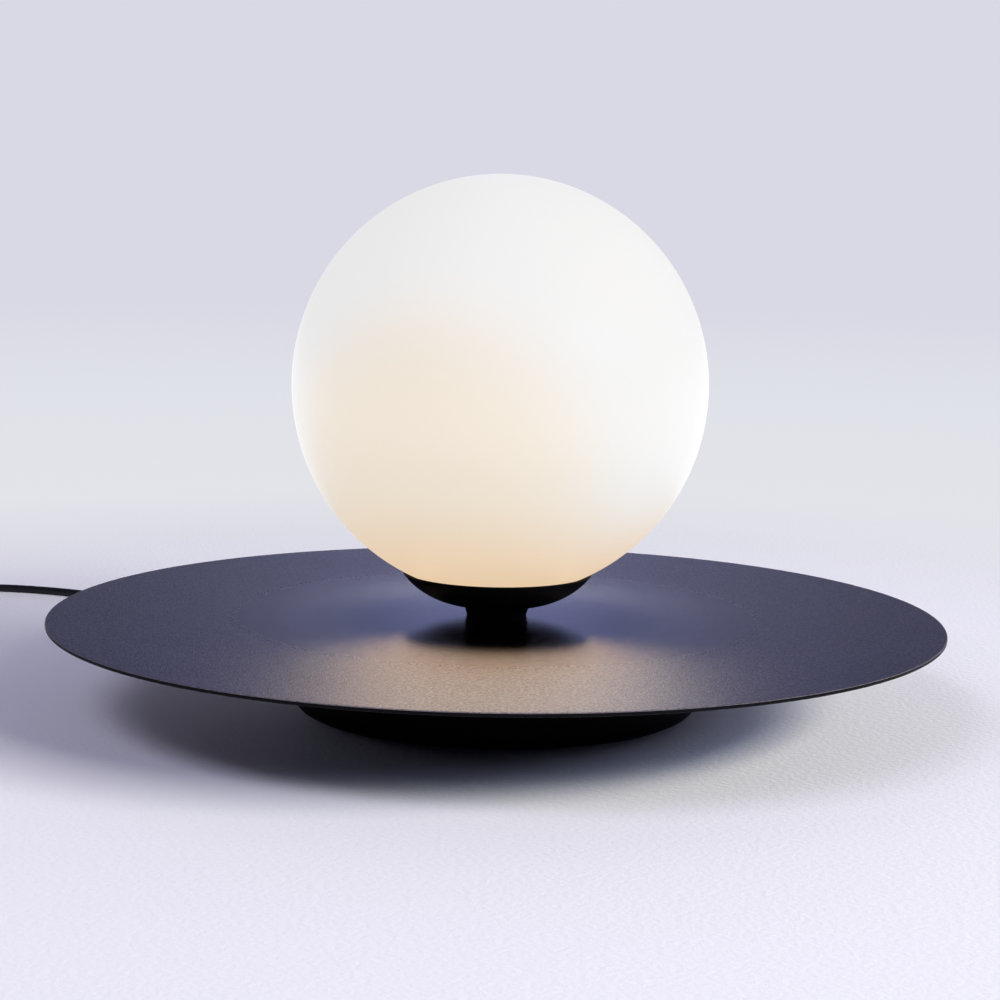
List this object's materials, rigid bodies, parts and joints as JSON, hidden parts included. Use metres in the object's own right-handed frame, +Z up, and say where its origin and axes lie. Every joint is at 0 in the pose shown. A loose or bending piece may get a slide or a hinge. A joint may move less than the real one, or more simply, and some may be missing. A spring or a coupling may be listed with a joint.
{
  "type": "table lamp",
  "caption": "Opal glass globe table lamp in a small cup on a wide flat disc that tilts and swivels on a magnetic ball joint over a heavy round base, with an inline rocker switch and adaptor.",
  "frame": {"origin": "centre of the foot ring on the table", "axes": "+Z up along the lamp's axis; -Y is the front; the lead leaves the back left (-X +Y)"},
  "size_m": [0.5852, 0.5224, 0.2592],
  "materials": {
    "black_coat": "satin",
    "charcoal_coat": "satin, fine powder-coat grain",
    "opal_glass": "satin, etched opal",
    "bright_steel": "polished",
    "magnet_plate": "nickel plated",
    "liner_plastic": "smooth",
    "foot_rubber": "matte",
    "cast_weight": "rough cast",
    "turned_aluminium": "turned",
    "brass_metal": "plain",
    "steel_screw": "zinc plated",
    "board_plastic": "matte",
    "led_resin": "gloss",
    "diffuser_plastic": "frosted",
    "gasket_silicone": "soft",
    "cord_jacket": "semi-gloss",
    "cord_relief": "matte",
    "tie_strap": "woven hook-and-loop",
    "case_plastic": "fine grain",
    "rocker_plastic": "gloss",
    "circuit_board": "solder mask",
    "transformer_core": "ferrite",
    "capacitor_sleeve": "gloss"
  },
  "bodies": {
    "base": {"foot_ring": "foot_rubber", "bottom_plate": "black_coat", "base_screws": "steel_screw", "base_shell": "black_coat", "ballast": "cast_weight", "cord_gland": "foot_rubber", "terminal_block": "board_plastic", "terminal_screws": "brass_metal", "supply_lead": "cord_jacket", "base_lead": "cord_jacket", "lower_pot": "bright_steel", "pot_screws": "steel_screw", "lower_magnet": "magnet_plate", "cord_to_switch": "cord_jacket", "switch_lower_shell": "case_plastic", "switch_upper_shell": "case_plastic", "switch_screws": "steel_screw", "switch_contacts": "brass_metal", "switch_reliefs": "cord_relief", "rocker_pin": "steel_screw", "cord_to_coil": "cord_jacket", "cord_coil": "cord_jacket", "coil_ties": "tie_strap", "cord_to_adaptor": "cord_jacket", "adaptor_lower_shell": "case_plastic", "adaptor_upper_shell": "case_plastic", "adaptor_screws": "steel_screw", "adaptor_relief": "cord_relief", "adaptor_board": "circuit_board", "adaptor_transformer": "transformer_core", "adaptor_capacitors": "capacitor_sleeve", "pin_block": "case_plastic", "plug_pins": "brass_metal"},
    "swivel": {"lower_liner": "liner_plastic"},
    "ball": {"pivot_ball": "bright_steel", "ball_lead": "cord_jacket"},
    "top": {"upper_liner": "liner_plastic", "upper_magnet": "magnet_plate", "upper_pot": "bright_steel", "disc": "charcoal_coat", "neck_cone": "black_coat", "cup": "black_coat", "lamp_nipple": "steel_screw", "nipple_nut": "steel_screw", "heatsink": "turned_aluminium", "upper_lead": "cord_jacket", "led_board": "board_plastic", "leds": "led_resin", "led_diffuser": "diffuser_plastic", "gallery": "turned_aluminium", "gallery_screws": "steel_screw", "globe_gasket": "gasket_silicone"},
    "globe_unit": {"globe": "opal_glass", "bayonet_ring": "turned_aluminium"},
    "rocker": {"switch_rocker": "rocker_plastic"}
  },
  "joints": [
    {"name": "swivel", "type": "hinge", "parent": "base", "child": "swivel", "pos_m": [0, 0, 0.027], "axis": [0, 0, 1], "range_deg": [-170, 170]},
    {"name": "lean_side", "type": "hinge", "parent": "swivel", "child": "ball", "pos_m": [0, 0, 0.027], "axis": [0, 1, 0], "range_deg": [-7, 7]},
    {"name": "lean_front", "type": "hinge", "parent": "ball", "child": "top", "pos_m": [0, 0, 0.027], "axis": [1, 0, 0], "range_deg": [-7, 7]},
    {"name": "globe_twist", "type": "hinge", "parent": "top", "child": "globe_unit", "pos_m": [0, 0, 0.06], "axis": [0, 0, 1], "range_deg": [0, 20]},
    {"name": "rocker_tilt", "type": "hinge", "parent": "base", "child": "rocker", "pos_m": [-0.3545, 0.205, 0.0125], "axis": [0.9945, -0.1045, 0], "range_deg": [0, 16]}
  ]
}
